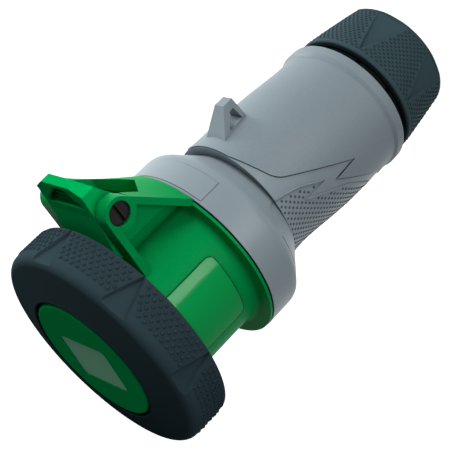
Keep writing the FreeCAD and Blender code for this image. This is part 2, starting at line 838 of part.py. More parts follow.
def socket_collar():
    barrel = turned("collar_barrel", [
        ("collar_flange_rad", FLANGE),
        ("collar_flange_rad", f"{FLANGE} + collar_flange_thick"),
        ("collar_rad", f"{FLANGE} + collar_flange_thick"),
        ("collar_rad", COLLAR_TOP),
        ("collar_bore_rad", COLLAR_TOP),
        ("collar_bore_rad", FLANGE),
    ])
    foot = circle_at(size["collar_rad"], FLANGE_AT + size["collar_flange_thick"])
    barrel = rounded(barrel, "collar_foot", "collar_foot_round", foot)
    rib = common("keyway_rib",
                 cylinder("rib_round", "keyway_rib_rad", "collar_length", z=FLANGE),
                 block("rib_side", ("-keyway_rib_rad", "-collar_bore_rad + 3"),
                       ("-keyway_rib_width / 2", "keyway_rib_width / 2"), (FLANGE, COLLAR_TOP)))
    keyway = common("keyway",
                    cylinder("keyway_round", "keyway_rad", "collar_length + 1", z=FLANGE),
                    block("keyway_side", ("-keyway_rad", "-collar_bore_rad + 5"),
                          ("-keyway_width / 2", "keyway_width / 2"), (FLANGE, f"{COLLAR_TOP} + 1")))
    bore = cylinder("collar_bore", "collar_bore_rad", "collar_length + 1", z=FLANGE)
    body = fuse("collar_body", barrel, bracket(), rib, bayonet_lugs())
    return cut("socket_collar", body, bore, keyway, pin_bores())


def rounded_tile(name, role, across, along, low, high, rad):
    """A rectangle with round corners, pushed between two offsets from its plane."""
    corners = [(across[0], along[0]), (across[1], along[0]), (across[1], along[1]), (across[0], along[1])]
    body = column(name, corners, low, high, role)
    reach = body.Tip.Length.Value

    def corner_edge(edge):
        box = edge.BoundBox
        spans = sorted((box.XLength, box.YLength, box.ZLength))
        depth = box.XLength if role == "YZ_Plane" else box.ZLength
        return abs(depth - reach) < 0.01 and spans[1] < 0.01

    return rounded(body, name + "_round", rad, corner_edge)


def rating_label():
    """The glossy label round the collar, with rounded corners."""
    half = "(label_to - label_from) / 2"
    wide = f"((collar_rad + label_thick) * sin({half}))"
    low = f"({FLANGE} + label_rear)"
    high = f"({FLANGE} + label_front)"
    tile = rounded_tile("label_tile", "YZ_Plane", (f"-{wide}", wide), (low, high),
                        "collar_rad / 2", "collar_rad + 5", "label_round")
    bind(tile, Placement__Rotation__Angle="-(label_from + label_to) / 2")
    tube = turned("label_tube", [
        ("collar_rad", low),
        ("collar_rad + label_thick", low),
        ("collar_rad + label_thick", high),
        ("collar_rad", high),
    ])
    return common("rating_label", tube, tile)


def hinge_pin():
    head = cylinder("pin_head", "pin_head_rad", "pin_head_length",
                    "pin_x", "-ear_outer + pin_recess", PIN_Z, "y")
    shank = cylinder("pin_shank", "pin_rad", "2 * ear_outer - 2 * pin_recess",
                     "pin_x", "-ear_outer + pin_recess", PIN_Z, "y")
    slot = doc.addObject("Part::Box", "pin_slot")
    bind(slot, Length="2 * pin_head_rad + 2", Width="pin_slot_depth + 1", Height="pin_slot_width")
    turn(slot, Y_AXIS, size["pin_slot_angle"])
    reach = "(pin_head_rad + 1)"
    half = "(pin_slot_width / 2)"
    at(slot, f"pin_x - {reach} * cos(pin_slot_angle) - {half} * sin(pin_slot_angle)",
       "-ear_outer + pin_recess - 1",
       f"{PIN_Z} + {reach} * sin(pin_slot_angle) - {half} * cos(pin_slot_angle)")
    return cut("hinge_pin", fuse("pin_solid", head, shank), slot)


collar_spigot = turned("collar_spigot", [
    ("carrier_rad + carrier_gap", f"{FLANGE} - collar_spigot_length"),
    ("collar_spigot_rad", f"{FLANGE} - collar_spigot_length"),
    ("collar_spigot_rad", FLANGE),
    ("carrier_rad + carrier_gap", FLANGE),
])
node("socket_collar", socket_collar())
node("collar_spigot", collar_spigot)
node("rating_label", rating_label())
node("hinge_pin", hinge_pin())


# Insulating carrier, contacts and their clamping plate.
CONTACTS = [
    ("contact_earth", "earth_pin_rad", 0),
    ("contact_l1", "phase_pin_rad", 72),
    ("contact_l2", "phase_pin_rad", 144),
    ("contact_l3", "phase_pin_rad", 216),
    ("contact_neutral", "phase_pin_rad", 288),
]


def contact_place(step):
    """Where a contact stands on the pitch circle, counted from the earth contact."""
    angle = f"(earth_angle - {step})"
    return f"pitch_rad * cos({angle})", f"pitch_rad * sin({angle})"


def contact(label, pin, set_back, x, y, screw_angle=None):
    """A slotted contact sleeve with its terminal barrel behind the clamping plate."""
    front = f"({CARRIER_FRONT} - {set_back})"
    rear = f"({PLATE_REAR} - terminal_length)"
    body = at(turned(label + "_turned", [
        ("0", f"{rear} + terminal_bore_depth"),
        (pin, f"{rear} + terminal_bore_depth"),
        (pin, rear),
        (f"{pin} + terminal_wall", rear),
        (f"{pin} + terminal_wall", PLATE_REAR),
        (f"{pin} + sleeve_wall", PLATE_REAR),
        (f"{pin} + sleeve_wall", front),
        (f"{pin} + pin_play", front),
        (f"{pin} + pin_play", f"{front} - sleeve_depth"),
        ("0", f"{front} - sleeve_depth"),
    ]), x, y)
    reach = f"({pin} + sleeve_wall + 1)"
    slot = block(label + "_slot", (f"{x} - {reach}", f"{x} + {reach}"),
                 (f"{y} - sleeve_slot / 2", f"{y} + sleeve_slot / 2"),
                 (f"{front} - sleeve_slot_length", f"{front} + 1"))
    if screw_angle is None:
        return node(label, cut(label, body, slot))
    tapped = screw_hole(label + "_tapped", x, y, screw_angle, "pin_head_rad + terminal_wall + 5")
    return node(label, cut(label, body, slot, tapped))


def screw_hole(name, x, y, angle, length):
    """A radial cylinder at the middle of a terminal's bore."""
    made = doc.addObject("Part::Cylinder", name)
    bind(made, Radius="terminal_screw_rad", Height=length)
    direction = FreeCAD.Vector(math.cos(math.radians(angle)), math.sin(math.radians(angle)), 0)
    made.Placement = FreeCAD.Placement(FreeCAD.Vector(), FreeCAD.Rotation(Z_AXIS, direction))
    return at(made, x, y, f"{PLATE_REAR} - terminal_length + terminal_bore_depth / 2")


def contact_bores(name, rear, gap):
    """The bores that the contacts pass through, from behind a face out to the front."""
    low = f"({rear} - 1)"
    tall = f"({CARRIER_FRONT} + 1 - {low})"
    made = []
    for label, pin, step in CONTACTS:
        x, y = contact_place(step)
        made.append(cylinder(f"{name}_{label}", f"{pin} + sleeve_wall + {gap}", tall, x, y, low))
    made.append(cylinder(f"{name}_pilot", f"pilot_pin_rad + sleeve_wall + {gap}", tall, z=low))
    return made


def carrier():
    """The insulating barrel with its six chambers."""
    barrel = cylinder("carrier_barrel", "carrier_rad", f"{CARRIER_FRONT} - {CARRIER_REAR}", z=CARRIER_REAR)
    return cut("contact_carrier", barrel, *contact_bores("chamber", CARRIER_REAR, "contact_gap"))


def carrier_ring():
    """The ring that seats the carrier in the bell behind the collar's spigot."""
    seat = f"({FLANGE} - collar_spigot_length - carrier_gap)"
    return turned("carrier_ring", [
        ("carrier_rad", CARRIER_REAR),
        ("carrier_flange_rad", CARRIER_REAR),
        ("carrier_flange_rad", seat),
        ("carrier_rad", seat),
    ])


def clamp_plate():
    """The plate that holds the contacts in the carrier from behind."""
    disc = cylinder("clamp_disc", "clamp_plate_rad", "clamp_plate_thick", z=PLATE_REAR)
    return cut("clamp_plate", disc, *contact_bores("plate", PLATE_REAR, "contact_gap"))


def terminal_screws():
    """Five equal clamp screws, one in each terminal."""
    made = []
    for label, pin, step in CONTACTS:
        angle = f"(earth_angle - {step})"
        start = "(pitch_rad + earth_pin_rad + contact_gap)"
        screw = screw_hole(f"screw_{label}", f"{start} * cos({angle})", f"{start} * sin({angle})",
                           size["earth_angle"] - step, "terminal_screw_length")
        made.append(screw)
    group = doc.addObject("Part::Compound", "terminal_screws")
    group.Links = made
    return group


node("contact_carrier", carrier())
node("carrier_ring", carrier_ring())
node("clamp_plate", clamp_plate())
for label, pin, step in CONTACTS:
    x, y = contact_place(step)
    contact(label, pin, "sleeve_set_back", x, y, size["earth_angle"] - step)
contact("contact_pilot", "pilot_pin_rad", "pilot_set_back", "0", "0")
node("terminal_screws", terminal_screws())


# Lid with its arm, thumb tab and window.
LID_HALF = f"({EAR_INNER} - lid_side_gap)"


def thumb_tab():
    """The tapered tab beyond the pin, with a ribbed scoop in its front."""
    front_view = column("tab_front_view", [
        ("pin_x", f"-{LID_HALF}"),
        ("pin_x + tab_shoulder_reach", f"-{LID_HALF}"),
        ("pin_x + tab_reach", "-tab_tip_half"),
        ("pin_x + tab_reach", "tab_tip_half"),
        ("pin_x + tab_shoulder_reach", LID_HALF),
        ("pin_x", LID_HALF),
    ], f"{PIN_Z} - 10", f"{PIN_Z} + 15")
    side_view = slab("tab_side_view", [
        ("pin_x", PIN_Z),
        ("pin_x + 1", f"{PIN_Z} + boss_rad - 0.1"),
        ("pin_x + tab_front_reach", f"{PIN_Z} + tab_front_rise"),
        ("pin_x + tab_reach", f"{PIN_Z} + tab_tip_rise"),
        ("pin_x + tab_back_reach", f"{PIN_Z} - tab_back_drop"),
    ], LID_HALF)
    solid = common("tab_solid", front_view, side_view)
    scoop = column("tab_scoop", [
        ("pin_x + boss_rad - 2", "-tab_tip_half - tab_scoop_spread"),
        ("pin_x + boss_rad", "-tab_tip_half - tab_scoop_spread"),
        ("pin_x + tab_scoop_bend", "-tab_tip_half - tab_scoop_spread / 3"),
        ("pin_x + tab_scoop_corner", "-tab_tip_half"),
        ("pin_x + tab_scoop_reach", "-tab_tip_half / 2"),
        ("pin_x + tab_scoop_reach", "tab_tip_half / 2"),
        ("pin_x + tab_scoop_corner", "tab_tip_half"),
        ("pin_x + tab_scoop_bend", "tab_tip_half + tab_scoop_spread / 3"),
        ("pin_x + boss_rad", "tab_tip_half + tab_scoop_spread"),
        ("pin_x + boss_rad - 2", "tab_tip_half + tab_scoop_spread"),
    ], f"{PIN_Z} + tab_scoop_floor", f"{PIN_Z} + 15")
    ribs = []
    for index in range(4):
        low = f"(pin_x + boss_rad + 0.6 + {index} * tab_rib_pitch)"
        ribs.append(block(f"tab_rib_{index}", (low, f"({low} + tab_rib_thick)"),
                          (f"-{LID_HALF} + 4", f"{LID_HALF} - 4"),
                          (f"{PIN_Z} + tab_scoop_floor - 1", f"{PIN_Z} + tab_scoop_floor + tab_rib_height")))
    grip = common("tab_ribs", fuse("tab_rib_blocks", *ribs), solid)
    return cut("tab_hollow", solid, scoop), grip


def lid():
    disc = turned("lid_disc", [
        ("0", LID_BACK),
        ("lid_rad", LID_BACK),
        ("lid_rad", LID_FRONT),
        ("lid_boss_rad", LID_FRONT),
        ("lid_boss_rad", f"{LID_FRONT} + lid_boss_height"),
        ("0", f"{LID_FRONT} + lid_boss_height"),
    ])
    face = RIM_AT - size["ring_stand_off"] + size["collar_length"] + size["lid_stand"]
    face = face + size["lid_plate_thick"] + size["lid_boss_height"]
    disc = rounded(disc, "lid_face_round", "lid_boss_round", circle_at(size["lid_boss_rad"], face))
    wall = common("lid_wall",
                  cylinder("lid_wall_round", "lid_arm_outer_rad", "collar_length + 10", z=FLANGE),
                  block("lid_wall_side", ("20", "lid_arm_outer_rad + 1"), (f"-{LID_HALF}", LID_HALF),
                        (f"({PIN_Z} + lid_arm_rise - lid_arm_thick)", f"({LID_BACK} + 0.5)")))
    arm = slab("lid_arm", [
        ("pin_x", f"{PIN_Z} + boss_rad"),
        ("collar_rad - 8", f"{PIN_Z} + lid_arm_rise"),
        ("collar_rad - 8", f"{PIN_Z} + lid_arm_rise - lid_arm_thick"),
        ("pin_x - 4", f"{PIN_Z} + 2"),
        ("pin_x", PIN_Z),
    ], LID_HALF)
    boss = cylinder("lid_boss", "boss_rad", f"2 * {LID_HALF}", "pin_x", f"-{LID_HALF}", PIN_Z, "y")
    hollow, grip = thumb_tab()
    tall = f"({LID_BACK} - {PIN_Z} + 10)"
    inner = cylinder("lid_inner_round", "lid_arm_inner_rad", tall, z=f"{PIN_Z} - 10")
    bore = cylinder("lid_bore", "pin_rad + running_clearance", f"2 * {LID_HALF} + 2",
                    "pin_x", f"-{LID_HALF} - 1", PIN_Z, "y")
    recess = rounded_tile("window_recess", "XY_Plane", window_span("window_height", "0", "window_shift"),
                          window_span("window_length", "0", "0"),
                          f"({LID_FRONT} + lid_boss_height - window_depth)",
                          f"({LID_FRONT} + lid_boss_height + 2)", "window_round")
    step = block("lid_step", ("collar_rad - 10", "well_floor_x + lid_step_gap"), (f"-{LID_HALF}", LID_HALF),
                 (f"({PIN_Z} - 10)", f"({PIN_Z} + lid_step_rise)"))
    carried = cut("arm_and_wall", fuse("arm_wall_boss", wall, arm, boss), inner, step)
    return cut("lid", fuse("lid_body", disc, carried, hollow, grip), bore, recess)


def window_span(length, gap, shift):
    return f"({shift} - {length} / 2 + {gap})", f"({shift} + {length} / 2 - {gap})"


def lid_window():
    """The pale field set into the lid's face."""
    low = f"({LID_FRONT} + lid_boss_height - window_depth)"
    return rounded_tile("window_plate", "XY_Plane",
                        window_span("window_height", "window_gap", "window_shift"),
                        window_span("window_length", "window_gap", "0"),
                        low, f"({low} + window_plate_thick)", "(window_round - window_gap)")


lid_gasket = turned("lid_gasket", [
    ("gasket_inner_rad", f"{COLLAR_TOP} + gasket_gap"),
    ("gasket_outer_rad", f"{COLLAR_TOP} + gasket_gap"),
    ("gasket_outer_rad", LID_BACK),
    ("gasket_inner_rad", LID_BACK),
])
node("lid", lid())
node("lid_window", lid_window())
node("lid_gasket", lid_gasket)


# Bayonet ring: hard core with two cams, soft grip and retaining clip.
CLIP_HIGH = f"({LID_BACK} - clip_gap)"
CLIP_LOW = f"({CLIP_HIGH} - clip_thick)"
CAM_HIGH = f"({COLLAR_TOP} - lug_below_rim - cam_clear)"


RING_CORNER = f"({RIM} + ring_side)"
RING_FALL = "((ring_depth - ring_side) * (ring_core_rad - ring_mouth_rad) / (ring_rad - ring_mouth_rad))"
CORE_CORNER = f"({RING_FRONT} - {RING_FALL} - ring_skin)"
CORE_SEAM = f"({LID_BACK} + ring_seam)"


def ring_core():
    body = turned("ring_core_turned", [
        ("ring_bore_rad", f"{RIM} + ring_core_inset"),
        ("ring_core_rad", f"{RIM} + ring_core_inset"),
        ("ring_core_rad", CORE_SEAM),
        ("ring_bore_rad", CORE_SEAM),
        ("ring_bore_rad", f"{CLIP_HIGH} + 0.05"),
        ("clip_outer_rad", f"{CLIP_HIGH} + 0.05"),
        ("clip_outer_rad", f"{CLIP_LOW} - 0.05"),
        ("ring_bore_rad", f"{CLIP_LOW} - 0.05"),
    ])
    tube = turned("cam_tube", [
        ("cam_inner_rad", f"{CAM_HIGH} - cam_height"),
        ("ring_bore_rad + 1", f"{CAM_HIGH} - cam_height"),
        ("ring_bore_rad + 1", CAM_HIGH),
        ("cam_inner_rad", CAM_HIGH),
    ])
    keep = column("cam_keep", [
        ("-ring_rad", "-cam_half_width"),
        ("ring_rad", "-cam_half_width"),
        ("ring_rad", "cam_half_width"),
        ("-ring_rad", "cam_half_width"),
    ], f"{CAM_HIGH} - cam_height - 1", f"{CAM_HIGH} + 1")
    bind(keep, Placement__Rotation__Angle="cam_angle")
    return fuse("ring_core", body, common("cams", tube, keep))


def ring_face():
    """The hard front plate of the ring, which holds the lid's disc from outside."""
    return turned("ring_face", [
        ("ring_bore_rad", CORE_SEAM),
        ("ring_core_rad", CORE_SEAM),
        ("ring_core_rad", CORE_CORNER),
        ("ring_mouth_rad", f"{RING_FRONT} - ring_skin"),
        ("ring_mouth_rad", RING_PLATE),
        ("ring_bore_rad", RING_PLATE),
    ])


def marked(name, body, corners, depth, bevel, count, start, rad, height="0", lean="0"):
    """Triangular recesses with sloping walls, repeated round the axis."""
    cutter = column(name + "_mark", corners, f"-({depth})", "2", "YZ_Plane")
    bind(cutter.Tip, TaperAngle=bevel)
    turn(cutter, Y_AXIS, 0.1)
    bind(at(cutter, rad, "0", height), Placement__Rotation__Angle=lean)
    angles = [start + 360 / count * index for index in range(count)]
    return cut(name, body, copies(name + "_marks", cutter, angles))


def ring_grip():
    body = turned("ring_grip_turned", [
        ("ring_core_rad", RIM),
        ("ring_rad", RIM),
        ("ring_rad", RING_CORNER),
        ("ring_mouth_rad", RING_FRONT),
        ("ring_mouth_rad", f"{RING_FRONT} - ring_skin"),
        ("ring_core_rad", CORE_CORNER),
    ])
    corner = RIM_AT + size["ring_side"]
    front = RIM_AT + size["ring_depth"]
    body = rounded(body, "ring_front_round", "ring_round", circle_at(size["ring_rad"], corner))
    body = rounded(body, "ring_rear_edge", "ring_rear_round", circle_at(size["ring_rad"], RIM_AT))
    body = rounded(body, "ring_mouth_edge", "ring_mouth_round", circle_at(size["ring_mouth_rad"], front))
    past = "(ring_mark_half * (ring_depth + 3 - ring_mark_apex) / (ring_mark_base - ring_mark_apex))"
    return marked("ring_grip", body, [
        ("0", f"{RIM} + ring_mark_apex"),
        (past, f"{RING_FRONT} + 3"),
        (f"-{past}", f"{RING_FRONT} + 3"),
    ], "ring_mark_depth", "ring_mark_bevel", 8, 0, "ring_rad")


def ring_clip():
    """An open retaining clip behind the lid's plate, clear of the lid's arm."""
    body = doc.addObject("PartDesign::Body", "ring_clip")
    sketch = outline(body, "clip_profile", "XZ_Plane", [
        ("clip_inner_rad", CLIP_LOW),
        ("clip_outer_rad - contact_gap", CLIP_LOW),
        ("clip_outer_rad - contact_gap", CLIP_HIGH),
        ("clip_inner_rad", CLIP_HIGH),
    ])
    spin = body.newObject("PartDesign::Revolution", "clip_turned")
    spin.Profile = sketch
    spin.ReferenceAxis = (sketch, ["V_Axis"])
    bind(spin, Angle="clip_sweep")
    bind(body, Placement__Rotation__Angle="clip_start")
    doc.recompute()
    return body


node("ring_core", ring_core())
node("ring_face", ring_face())
node("ring_grip", ring_grip())
node("ring_clip", ring_clip())


# Cable gland: sleeve, seal, thrust ring and nut.
def gland_sleeve():
    body = turned("gland_sleeve_turned", [
        ("sleeve_bore_rad", "sleeve_rear"),
        ("thread_rad", "sleeve_rear"),
        ("thread_rad", "nut_length + sleeve_flange_gap"),
        ("sleeve_rim_rad", "nut_length + sleeve_flange_gap"),
        ("sleeve_rim_rad", "nut_length + sleeve_flange_gap + sleeve_rim_thick"),
        ("sleeve_flange_rad", "nut_length + sleeve_flange_gap + sleeve_rim_thick"),
        ("sleeve_flange_rad", LIP),
        ("spigot_seat_rad", LIP),
        ("spigot_seat_rad", f"{LIP} + spigot_seat_depth"),
        ("sleeve_neck_rad", f"{LIP} + spigot_seat_depth"),
        ("sleeve_neck_rad", "seal_front"),
        ("sleeve_bore_rad", "seal_front"),
    ])
    half = "sleeve_tooth_width / 2"
    return marked("gland_sleeve", body, [
        (f"-{half}", "nut_length + sleeve_flange_gap + sleeve_rim_thick"),
        (half, "nut_length + sleeve_flange_gap + sleeve_rim_thick"),
        (half, f"{LIP} - 1"),
        (f"-{half}", f"{LIP} - 1"),
    ], "sleeve_tooth_depth", "0", 10, 0, "sleeve_flange_rad")


def gland_nut():
    body = turned("gland_nut_turned", [
        ("nut_mouth_rad + nut_mouth_bevel", "0"),
        ("nut_rear_rad", "0"),
        ("nut_front_rad", "nut_length"),
        ("thread_rad + thread_clearance", "nut_length"),
        ("thread_rad + thread_clearance", "nut_wall_rear"),
        ("nut_mouth_rad", "nut_wall_rear"),
        ("nut_mouth_rad", "nut_mouth_bevel"),
    ])
    body = rounded(body, "nut_rear_edge", "nut_rear_round", circle_at(size["nut_rear_rad"], 0))
    body = rounded(body, "nut_front_edge", "nut_front_round",
                   circle_at(size["nut_front_rad"], size["nut_length"]))
    lean = "atan((nut_front_rad - nut_rear_rad) / nut_length)"
    apex = "(nut_length - nut_mark_apex)"
    past = f"(nut_mark_half * ({apex} + 3) / {apex})"
    return marked("gland_nut", body, [
        ("0", apex),
        (past, "-3"),
        (f"-{past}", "-3"),
    ], "nut_mark_depth", "ring_mark_bevel", 6, 30, "nut_rear_rad", "0", lean)


def gland_seal():
    """The rubber seal, grooved inside."""
    low = "(nut_wall_rear + thrust_gap + thrust_thick + seal_gap)"
    corners = [("seal_bore_rad + seal_groove", low), ("sleeve_bore_rad - seal_gap", low)]
    corners = corners + [("sleeve_bore_rad - seal_gap", "seal_front"), ("seal_bore_rad", "seal_front")]
    steps = 3
    for index in range(steps):
        top = f"(seal_front - {2 * index + 1} * (seal_front - {low}) / {2 * steps})"
        end = f"(seal_front - {2 * index + 2} * (seal_front - {low}) / {2 * steps})"
        corners.append(("seal_bore_rad", top))
        corners.append(("seal_bore_rad + seal_groove", top))
        if index < steps - 1:
            corners.append(("seal_bore_rad + seal_groove", end))
            corners.append(("seal_bore_rad", end))
    return turned("gland_seal", corners)


def thrust_ring():
    low = "(nut_wall_rear + thrust_gap)"
    return turned("thrust_ring", [
        ("nut_mouth_rad", low),
        ("thrust_rad", low),
        ("thrust_rad", f"{low} + thrust_thick"),
        ("nut_mouth_rad", f"{low} + thrust_thick"),
    ])


node("gland_sleeve", gland_sleeve())
node("gland_nut", gland_nut())
node("gland_seal", gland_seal())
node("thrust_ring", thrust_ring())

doc.recompute()
for thing in doc.Objects:
    if "Invalid" in thing.State or "Error" in thing.State:
        raise ValueError(f"{thing.Name} failed: {thing.State}")
for thing in nodes:
    if thing.Shape.isNull() or not thing.Shape.isValid():
        raise ValueError(f"{thing.Label} has no valid shape")
os.makedirs("parts", exist_ok=True)
for thing in nodes:
    thing.Shape.exportStep(f"parts/{thing.Label}.step")
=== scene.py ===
import bpy
import math
from mathutils import Euler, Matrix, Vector
from mathutils.bvhtree import BVHTree


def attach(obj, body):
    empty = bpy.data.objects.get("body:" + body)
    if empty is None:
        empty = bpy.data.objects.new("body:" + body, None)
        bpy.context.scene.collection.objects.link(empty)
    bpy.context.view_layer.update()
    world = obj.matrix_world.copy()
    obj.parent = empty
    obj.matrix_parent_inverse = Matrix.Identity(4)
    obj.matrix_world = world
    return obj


# Waterproof pin and sleeve connector with a green socket collar. Metres, with
# +Z along the axis to the lid and +X towards the hinge.

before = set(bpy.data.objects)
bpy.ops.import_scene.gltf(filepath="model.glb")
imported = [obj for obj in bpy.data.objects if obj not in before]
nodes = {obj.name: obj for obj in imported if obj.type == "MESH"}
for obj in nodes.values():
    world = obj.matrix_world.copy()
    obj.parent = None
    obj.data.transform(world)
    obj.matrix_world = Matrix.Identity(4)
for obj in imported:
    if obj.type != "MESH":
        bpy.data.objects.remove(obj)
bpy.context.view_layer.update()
scene = bpy.context.scene

# Where the connector's main edges lie.
FLANGE = 0.174
RING_REAR = 0.2245
RING_CORNER = 0.2481
RING_RAD = 0.0635
NUT_LENGTH = 0.038
NUT_REAR_RAD = 0.035
NUT_FRONT_RAD = 0.0395
LABEL_CORNER = 0.004
OUTSIDE = 0.09

# The dotted grip on the flank of the neck, as the side view shows it: distance
# towards the hinge, and distance behind the flange.
GRIP_BROW = [(0.0155, 0.0355), (0.0102, 0.0535), (0.0026, 0.0686)]
GRIP_NOTCH = (0.0017, 0.0531)
GRIP_TAIL = [(-0.0119, 0.0825), (-0.0272, 0.1005)]
GRIP_FRONT = 0.0355
GRIP_UNDER = -0.060
GRIP_MARGIN = 0.0016

# The line between the two handle shells, in the same two measures.
SEAM = [(0.0380, 0.0384), (0.0275, 0.0432), (0.0251, 0.0445), (0.0230, 0.0462),
        (0.0212, 0.0482), (0.0198, 0.0506), (-0.0003, 0.0908)]
SEAM_NOTCH = (-0.0022, 0.0755)
SEAM_TAIL = (-0.0260, 0.1095)

# Studs: half width round the axis, half length along it, and height.
RING_STUD = (0.00120, 0.00120, 0.00075)
NUT_STUD = (0.00105, 0.00050, 0.00040)
GRIP_STUD = (0.00080, 0.00085, 0.00040)
STUD_SIDES = 8
STUD_STEPS = ((1.0, -0.2), (0.75, 0.6))

# Rows of studs: first row, last row, pitch along the axis and number in a row.
RING_ROWS = (RING_REAR + 0.0028, RING_CORNER - 0.0048, 0.0027, 102)
NUT_ROWS = (0.0040, NUT_LENGTH - 0.0030, 0.0018, 72)
GRIP_ROWS = (FLANGE - 0.0990, FLANGE - 0.0370, 0.0021, 60)
RING_CLEAR = 0.0015
NUT_CLEAR = 0.0014
OUT_OF_ROUND = 0.00012

# Thin lines: the raised beads of the grip, and the dark lines along the seam and round the label, which are painted
# shade.
BEAD_RAD = 0.0006
BEAD_SHIFT = 0.0007
SEAM_SHADOW_RAD = 0.0003
SEAM_SHADOW_SHIFT = 0.0006
LABEL_SHADOW_RAD = 0.00022
FLANK_PITCH = 0.001
LABEL_PITCH = 0.0015
SETTLING = 0.6
LINE_SIDES = 6
LINE_FLATNESS = 0.8
LINE_TIP = 0.3
LINE_GROWTH = 0.35


# Shader nodes.
def group(name, inputs, outputs):
    """A node group with named sockets, and its end nodes."""
    tree = bpy.data.node_groups.new(name, "ShaderNodeTree")
    for label, value in inputs.items():
        socket = tree.interface.new_socket(label, in_out="INPUT", socket_type="NodeSocketFloat")
        socket.default_value = value
    for label in outputs:
        tree.interface.new_socket(label, in_out="OUTPUT", socket_type="NodeSocketFloat")
    return tree, tree.nodes.new("NodeGroupInput"), tree.nodes.new("NodeGroupOutput")


def wire(tree, kind, settings=None, **inputs):
    """A node with its settings, and its inputs given as values or as sockets."""
    made = tree.nodes.new(kind)
    for name, value in (settings or {}).items():
        setattr(made, name, value)
    for label, value in inputs.items():
        numbered = label[0] == "i" and label[1:].isdigit()
        socket = made.inputs[int(label[1:])] if numbered else made.inputs[label.replace("_", " ")]
        if isinstance(value, bpy.types.NodeSocket):
            tree.links.new(value, socket)
        else:
            socket.default_value = value
    return made


def maths(tree, operation, first, second):
    """The result of one sum on values or sockets."""
    return wire(tree, "ShaderNodeMath", {"operation": operation}, i0=first, i1=second).outputs[0]


def blank_tree(owner):
    """The emptied shader tree of a material or of the world."""
    owner.use_nodes = True
    owner.node_tree.nodes.clear()
    return owner.node_tree


NOISE_MIDDLE = 0.5
PATCHES = 22.0
TONE_SPREAD = 4.0
ROUGH_SPREAD = 2.0


def grain_group():
    """Spark-eroded grain of a moulded skin, with specks and a broad mottle of tone."""
    tree, given, out = group("moulded_grain", {"Size": 0.001, "Mottle": 0.03, "Speckle": 0.03, "Rough": 0.4},
                             ["Height", "Tone", "Rough"])
    place = wire(tree, "ShaderNodeNewGeometry").outputs["Position"]
    pitch = maths(tree, "DIVIDE", 1.0, given.outputs["Size"])
    fine = wire(tree, "ShaderNodeTexNoise", Vector=place, Scale=pitch, Detail=3.0, Roughness=0.6).outputs["Fac"]
    broad = wire(tree, "ShaderNodeTexNoise", Vector=place, Scale=PATCHES, Detail=2.0).outputs["Fac"]
    patch = maths(tree, "MULTIPLY", maths(tree, "SUBTRACT", broad, NOISE_MIDDLE), given.outputs["Mottle"])
    speck = maths(tree, "MULTIPLY", maths(tree, "SUBTRACT", fine, NOISE_MIDDLE), given.outputs["Speckle"])
    spread = maths(tree, "MULTIPLY", maths(tree, "ADD", patch, speck), TONE_SPREAD)
    rougher = maths(tree, "MULTIPLY", patch, ROUGH_SPREAD)
    tree.links.new(fine, out.inputs["Height"])
    tree.links.new(maths(tree, "ADD", spread, 1.0), out.inputs["Tone"])
    tree.links.new(maths(tree, "ADD", rougher, given.outputs["Rough"]), out.inputs["Rough"])
    return tree


GRAIN = grain_group()
MOTTLE = 0.03
# Reach and strength of the shade painted into crevices by ambient occlusion.
CREVICE = 0.004
CREVICE_SHADE = 0.8
SOFT_SAMPLES = 6


def finish(name, colour, rough, grain, depth, speckle=0.0, edge=0.0004, shine=0.5, metal=0.0):
    """A moulded or metal finish: mottled tone, painted shade in crevices, grain as bump and softened edges."""
    mat = bpy.data.materials.new(name)
    tree = blank_tree(mat)
    skin = wire(tree, "ShaderNodeGroup", {"node_tree": GRAIN},
                Size=grain, Mottle=MOTTLE, Speckle=speckle, Rough=rough).outputs
    soft = {"samples": SOFT_SAMPLES}
    # Ambient occlusion darkens the colour in crevices, seams and recesses: this is painted shade.
    openness = wire(tree, "ShaderNodeAmbientOcclusion", soft, Distance=CREVICE).outputs["AO"]
    painted_crevice_shade = maths(tree, "ADD", maths(tree, "MULTIPLY", openness, CREVICE_SHADE), 1.0 - CREVICE_SHADE)
    tone = maths(tree, "MULTIPLY", painted_crevice_shade, skin["Tone"])
    tint = wire(tree, "ShaderNodeVectorMath", {"operation": "SCALE"}, i0=colour, Scale=tone).outputs[0]
    rounded = wire(tree, "ShaderNodeBevel", soft, Radius=edge).outputs["Normal"]
    bumped = wire(tree, "ShaderNodeBump", Height=skin["Height"], Strength=1.0, Distance=depth,
                  Normal=rounded).outputs["Normal"]
    shaded = wire(tree, "ShaderNodeBsdfPrincipled", Base_Color=tint, Roughness=skin["Rough"], Normal=bumped,
                  Specular_IOR_Level=shine, Metallic=metal).outputs["BSDF"]
    wire(tree, "ShaderNodeOutputMaterial", Surface=shaded)
    return mat


def dress(mat, *names):
    """Give a finish to CAD nodes."""
    for name in names:
        mesh = nodes[name].data
        mesh.materials.clear()
        mesh.materials.append(mat)


# Name, colour, roughness, size of the grain and depth of the grain.
grey_gloss = finish("grey_gloss", (0.272, 0.333, 0.371), 0.38, 0.0005, 0.000012, speckle=0.03, shine=0.17)
grey_matte = finish("grey_matte", (0.25, 0.307, 0.341), 0.45, 0.0005, 0.00003, speckle=0.1, shine=0.14)
# The nut's studs are real domes; their colour, darker than the nut's, is painted shade standing in for the shadows
# beside them.
nut_stud_painted_shade = finish("nut_stud_painted_shade", (0.024, 0.043, 0.05), 0.6, 0.0003, 0.000006, shine=0.03)
